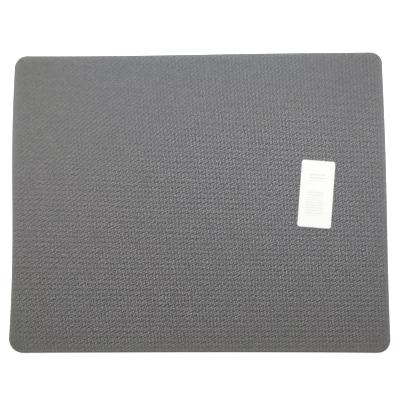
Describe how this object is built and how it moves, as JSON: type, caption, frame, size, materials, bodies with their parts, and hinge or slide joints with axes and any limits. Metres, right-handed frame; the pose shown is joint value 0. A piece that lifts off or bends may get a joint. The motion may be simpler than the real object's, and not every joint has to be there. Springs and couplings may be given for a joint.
{
  "type": "mouse pad",
  "caption": "Thin rectangular mouse pad lying face down: cloth face bonded to ribbed foam rubber with rounded corners, and a small paper label on the rubber underside.",
  "frame": {"origin": "middle of the cloth face, on the surface that the pad lies on", "axes": "+X along the long side, +Y along the short side, +Z out of the rubber underside, which faces up as pictured; half a turn about X puts the pad cloth side up for use"},
  "size_m": [0.22, 0.18, 0.0022],
  "materials": {
    "cloth": "matte knitted polyester",
    "film": "translucent bonding film",
    "rubber": "matte, woven-look grip emboss",
    "adhesive": "pressure-sensitive adhesive",
    "paper": "uncoated white label paper"
  },
  "bodies": {
    "root": {"cloth_face": "cloth", "bond_film": "film", "rubber_base": "rubber", "label_adhesive": "adhesive", "label_paper": "paper"}
  },
  "joints": []
}
